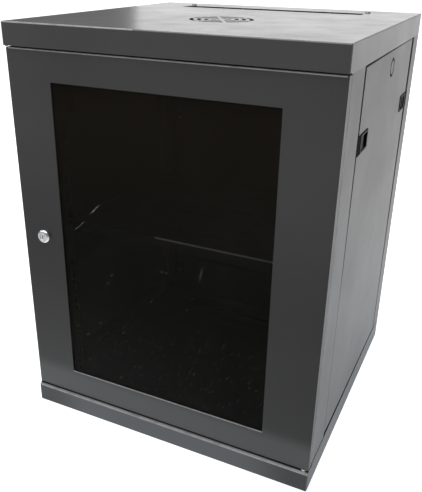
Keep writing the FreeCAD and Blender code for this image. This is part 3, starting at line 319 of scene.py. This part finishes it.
def smoked_glass():
    """Smoke-tinted toughened glass with dust, faint smears and a few hairline scratches."""
    m = M("smoked_glass")
    x, y, z = m.sep()
    low = m.ramp(z, 0.62, 0.12)                      # more dust towards the bottom
    flat = m.comb(x, 0.0, z)
    v1 = m.voronoi(95.0, vec=flat, out="Distance")
    pick = m.sep(m.voronoi(95.0, vec=flat, out="Color"))[0]
    spot = m.math("MULTIPLY", m.ramp(v1, 0.16, 0.05), m.ramp(pick, 0.80, 0.97))
    v2 = m.voronoi(240.0, vec=flat, out="Distance")
    pick2 = m.sep(m.voronoi(240.0, vec=flat, out="Color"))[1]
    spot2 = m.math("MULTIPLY", m.ramp(v2, 0.26, 0.08), m.ramp(pick2, 0.80, 0.99))
    film = m.ramp(m.noise(5.5, 5.0, 0.6, vec=flat), 0.35, 0.8)
    dust = m.math("ADD", m.math("MULTIPLY", spot, 0.60), m.math("MULTIPLY", spot2, 0.42))
    dust = m.math("MULTIPLY", dust, m.math("ADD", m.math("MULTIPLY", low, 0.75), 0.30))
    marks = None
    # hairline scratches and one smear: (x, z) ends, half width, strength
    for x0, z0, x1, z1, w, k in SCRATCHES:
        l = math.hypot(x1 - x0, z1 - z0)
        ux, uz = (x1 - x0) / l, (z1 - z0) / l
        dx, dz = m.math("SUBTRACT", x, x0), m.math("SUBTRACT", z, z0)
        along = m.math("ADD", m.math("MULTIPLY", dx, ux), m.math("MULTIPLY", dz, uz))
        wob = m.math("MULTIPLY", m.math("SUBTRACT", m.noise(60.0, 2.0, 0.5, vec=flat), 0.5), 0.004)
        across = m.math("ABSOLUTE", m.math("ADD", wob, m.math("SUBTRACT", m.math("MULTIPLY", dx, uz), m.math("MULTIPLY", dz, ux))))
        a = m.math("MULTIPLY", m.ramp(across, w, w * 0.3), m.math("MULTIPLY", m.ramp(along, 0.0, l * 0.12), m.ramp(along, l, l * 0.8)))
        broken = m.ramp(m.noise(220.0, 2.0, 0.6, vec=flat), 0.38, 0.56)
        a = m.math("MULTIPLY", m.math("MULTIPLY", a, broken), k)
        marks = a if marks is None else m.math("ADD", marks, a)
    dust = m.math("ADD", dust, marks)
    dust = m.math("ADD", dust, m.math("MULTIPLY", film, 0.010), clamp=True)
    # the glass colour is darker towards the bottom and lighter and warmer towards the top
    glass_colour = m.mix(m.ramp(z, 0.30, 0.69), (0.0042, 0.0046, 0.0036), (0.0150, 0.0125, 0.0088))
    c = m.mix(dust, glass_colour, (0.34, 0.32, 0.26))
    m.set(color=c, roughness=m.math("ADD", m.math("MULTIPLY", film, 0.05), 0.04), spec=0.05)
    m.set(alpha=m.math("ADD", m.math("MULTIPLY", dust, 0.6), GLASS_ALPHA, clamp=True))
    m.bump(m.noise(1.7, 1.0, 0.5), 0.05, 0.0004)
    return m.mat


GLASS_ALPHA = 0.52
SCRATCHES = (
    (-0.182, 0.4205, -0.158, 0.4430, 0.0009, 0.55),
    (-0.147, 0.4570, -0.1223, 0.4826, 0.0014, 0.80),
    (0.076, 0.3720, 0.0815, 0.4050, 0.0035, 0.14),
)


MAT = {}
# the roof, door, base and inner coats are lit and shaded copies of the one powder coat: their base colours are set per
# part as painted light and shade
SIDE_ROUGH = 0.475
# painted shade lines along the base seams
SEAM_SHADE = ((0.0450, 0.0478, -0.272, -0.190, 0.95), (0.0404, 0.0430, -0.278, -0.272, 0.90))
# painted highlights along the front edge of each post
MAT["powder_coat"] = powder("powder_coat", rough=SIDE_ROUGH, inner_shade=0.30, seam_shade=SEAM_SHADE,
                            edge_highlights=((0.0475, 0.7425, -0.2765, 0.2975, 0.3005, 0.55, 1.0),
                                  (0.0475, 0.7425, -0.2765, -0.3005, -0.2975, 0.55, 1.0)))
# side panels: painted shade round the knock-out groove and along the front and rear gap lines
MAT["powder_panel"] = powder("powder_panel", rough=SIDE_ROUGH, inner_shade=0.30, ring_shade=(0.032, 0.710, 0.0125, 0.0170, 0.85),
                             edge_shade=((-0.1967, 0.330, -0.1893, 0.7394, 0.0015, 0.9), (0.2415, 0.150, 0.2285, 0.7422, 0.0028, 0.9)))
# roof: a lighter base colour, up-facing faces painted darker as painted shade, painted highlights along the front edge
MAT["powder_roof"] = powder("powder_roof", base=(0.063, 0.063, 0.0645), rough=0.22, side=0.43, inner_shade=0.30, top=0.40,
                            edge_highlights=((0.7832, 0.7858, -0.2962, -0.31, -0.04, 0.30, 1.0), (0.7836, 0.7858, -0.2962, -0.04, 0.31, 0.14, 0.8)))
# door: painted shade that darkens the lower part of the door, painted highlights on the top edge and the window's
# bottom edge
MAT["powder_door"] = powder("powder_door", base=(0.0475, 0.0475, 0.0488), rough=0.36, side=SIDE_ROUGH,
                            down=((0.080, 0.94), (0.115, 0.18), (0.30, 0.33), (0.66, 1.02)),
                            edge_highlights=((0.7401, 0.7430, -0.2926, -0.294, 0.297, 0.42, 1.0),
                                  (0.0970, 0.0988, -0.2928, -0.2093, 0.2077, 0.30, 0.9)))
# base: a lighter bluish base colour as painted reflection, painted shade towards the left and right ends, painted
# highlight on the plinth's top edge
MAT["powder_base"] = powder("powder_base", base=(0.058, 0.061, 0.065), rough=0.36, side=SIDE_ROUGH, inner_shade=0.30, ends=0.30, seam_shade=SEAM_SHADE,
                            edge_highlights=((0.0375, 0.0405, -0.2950, -0.31, 0.31, 0.30, 1.0),))
# inner parts: a near-black shaded copy of the coat, with a painted highlight along the shelf's front edge
MAT["powder_inner_shaded"] = powder("powder_inner_shaded", base=(0.007, 0.007, 0.0075), rough=0.6, dust=0.5, spec=0.2,
                             edge_highlights=((0.4128, 0.4160, -0.2400, -0.04, 0.23, 0.85, 1.0),))
MAT["smoked_glass"] = smoked_glass()
MAT["lock_chrome"] = metal("lock_chrome", (0.72, 0.73, 0.75), 0.13, spots=0.10, dark=0.85)
MAT["zinc_steel"] = metal("zinc_steel", (0.60, 0.61, 0.63), 0.34, spots=0.25, dark=0.8)
MAT["black_screw"] = metal("black_screw", (0.045, 0.045, 0.047), 0.38, spots=0.2)
MAT["black_plastic"] = plastic("black_plastic", (0.010, 0.010, 0.0105), 0.55, spec=0.15)
MAT["grey_plastic"] = plastic("grey_plastic", (0.022, 0.022, 0.023), 0.60, spec=0.12)
MAT["latch_plastic"] = latch_plastic()
MAT["grey_screw"] = metal("grey_screw", (0.30, 0.30, 0.305), 0.40, spots=0.2)
MAT["white_nylon"] = plastic("white_nylon", (0.78, 0.77, 0.72), 0.45, var=0.06)
MAT["rubber"] = plastic("rubber", (0.012, 0.012, 0.012), 0.75, grain=700.0)
MAT["brass"] = metal("brass", (0.72, 0.55, 0.26), 0.28, spots=0.25)

record = frame["record"]
slot_of = {s["node"]: s["material_slot"] for s in record["subparts"]}
INNER = ("shelf_tray", "rail_support", "rack_rail", "wall_mount_strip", "bottom_cable_cover", "top_cable_cover")
for name, ob in N.items():
    key = slot_of[name]
    if key == "powder_coat" and name.startswith(INNER):
        key = "powder_inner_shaded"
    elif name.startswith("side_panel"):
        key = "powder_panel"
    elif name.startswith("latch_housing"):
        key = "latch_plastic"
    elif name == "cable_cover_screws":
        key = "grey_screw"
    elif name in ("roof_cover", "door_frame", "base_tray"):
        key = {"roof_cover": "powder_roof", "door_frame": "powder_door", "base_tray": "powder_base"}[name]
    ob.data.materials.clear()
    ob.data.materials.append(MAT[key])


# the upper hinge pin's coil spring, between its bracket and the pin's collar, is copied into its own mesh and attached
# to the door; the CAD spring is hidden
src = N["hinge_pin_spring"]
coil = bpy.data.objects.new("hinge_pin_spring_coil", src.data.copy())
scene.collection.objects.link(coil)
bpy.context.view_layer.update()
coil.matrix_world = src.matrix_world.copy()
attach(coil, "door")
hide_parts("hinge_pin_spring")
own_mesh(coil)


# ------------------------------------------------------------------ floor, lights, camera
def stage_floor():
    """Plain pale floor. Its painted glow is strongest round the cabinet and falls off far in front of it; under the
    cabinet lies a painted shadow.
    """
    me = bpy.data.meshes.new("floor")
    s = 60.0
    me.from_pydata([(-s, -s, 0), (s, -s, 0), (s, s, 0), (-s, s, 0)], [], [(0, 1, 2, 3)])
    ob = bpy.data.objects.new("floor", me)
    scene.collection.objects.link(ob)
    m = M("floor")
    c = m.mix(m.ramp(m.noise(0.6, 3.0), 0.3, 0.7), (0.80, 0.80, 0.80), (0.83, 0.83, 0.83))
    x, y, z = m.sep()
    # the glow ends a little in front of the cabinet and to its left, and is stronger beside and behind it
    dist = m.math("SUBTRACT", m.math("MULTIPLY", x, 0.448), m.math("MULTIPLY", y, 0.894))
    left = m.math("SUBTRACT", m.math("MULTIPLY", x, -0.745), m.math("MULTIPLY", y, 0.668))
    front = m.math("MULTIPLY", m.ramp(dist, 0.72, 0.27), m.ramp(left, 0.90, 0.37))
    boost = m.math("MAXIMUM", m.ramp(y, 0.2, 1.6, 1.0, 1.6), m.ramp(x, 0.25, 0.60, 1.0, 1.6))
    front = m.math("MULTIPLY", front, boost)
    # painted shadow: under the cabinet the floor does not glow
    shadow_under = m.math("MULTIPLY", m.math("MULTIPLY", m.ramp(m.math("ABSOLUTE", x), 0.285, 0.275, smooth=False),
                                      m.ramp(m.math("ABSOLUTE", y), 0.285, 0.275, smooth=False)), 1.0)
    glow = m.math("MULTIPLY", front, m.math("SUBTRACT", 1.0, shadow_under))
    # painted shade: the floor colour is darkened far in front of the cabinet and to its left
    c = m.mix(m.ramp(m.math("MAXIMUM", dist, m.math("SUBTRACT", left, 0.10)), 0.50, 1.60, 0.0, 0.30), c, (0.0, 0.0, 0.0))
    # painted shadow: the floor colour under the cabinet is painted nearly black
    c = m.mix(m.math("MULTIPLY", shadow_under, 0.97), c, (0.0, 0.0, 0.0))
    m.set(color=c, roughness=0.9, spec=0.1)
    m.set(emit=m.mix(m.ramp(y, 0.3, 1.2), FLOOR_TINT, (1.0, 1.0, 1.0)), emit_s=m.math("MULTIPLY", glow, FLOOR_GLOW))
    ob.data.materials.append(m.mat)
    return ob


FLOOR_TINT = (0.90, 0.955, 1.0)
FLOOR_GLOW = 0.68
stage_floor()


def area(name, loc, aim, size, size_y, power, color=(1, 1, 1)):
    li = bpy.data.lights.new(name, "AREA")
    li.shape = "RECTANGLE"
    li.size, li.size_y = size, size_y
    li.energy = power
    li.color = color
    ob = bpy.data.objects.new(name, li)
    scene.collection.objects.link(ob)
    ob.location = loc
    d = Vector(aim) - Vector(loc)
    ob.rotation_euler = d.to_track_quat("-Z", "Y").to_euler()
    return ob


world = bpy.data.worlds.new("studio")
scene.world = world
world.use_nodes = True
wt = world.node_tree
wt.nodes.clear()
wo = wt.nodes.new("ShaderNodeOutputWorld")
bg = wt.nodes.new("ShaderNodeBackground")
bg.inputs["Color"].default_value = (1, 1, 1, 1)
bg.inputs["Strength"].default_value = 0.26
wt.links.new(bg.outputs[0], wo.inputs[0])

area("overhead", (0.0, -0.1, 3.2), (0, 0, 0), 3.6, 3.6, 95)
area("back_panel", (-0.35, 5.0, 1.7), (-0.35, 0, 0.8), 5.9, 3.2, 66)
area("front_top", (-0.5, -2.3, 2.7), (0.0, -0.3, 0.5), 2.2, 1.4, 26)

card = area("left_card", (-2.60, -1.85, 1.95), (-0.25, -0.29, 0.40), 3.0, 2.0, 26)
card.visible_diffuse = False
card.visible_camera = False

AZ, EL, ROLL = 25.7075, 23.9819, 0.7107
CAM = Vector((0.5004587, -1.1753224, 0.8864496))
F_PX, PX, PY = 637.7492, 199.4031, 241.1584
az, el, roll = (math.radians(v) for v in (AZ, EL, ROLL))
back = Vector((math.sin(az) * math.cos(el), -math.cos(az) * math.cos(el), math.sin(el)))
right = (-back).cross(Vector((0, 0, 1))).normalized()
up = right.cross(-back)
r2 = math.cos(roll) * right + math.sin(roll) * up
u2 = -math.sin(roll) * right + math.cos(roll) * up
cam_data = bpy.data.cameras.new("camera")
cam = bpy.data.objects.new("camera", cam_data)
scene.collection.objects.link(cam)
cam.matrix_world = Matrix(((r2.x, u2.x, back.x, CAM.x), (r2.y, u2.y, back.y, CAM.y), (r2.z, u2.z, back.z, CAM.z), (0, 0, 0, 1)))
cam_data.sensor_fit = "HORIZONTAL"
cam_data.sensor_width = 36.0
cam_data.lens = F_PX / 422.0 * 36.0
cam_data.shift_x = (211.0 - PX) / 422.0
cam_data.shift_y = (PY - 246.0) / 422.0
cam_data.clip_start = 0.01
cam_data.dof.use_dof = False
scene.camera = cam

bpy.context.view_layer.update()
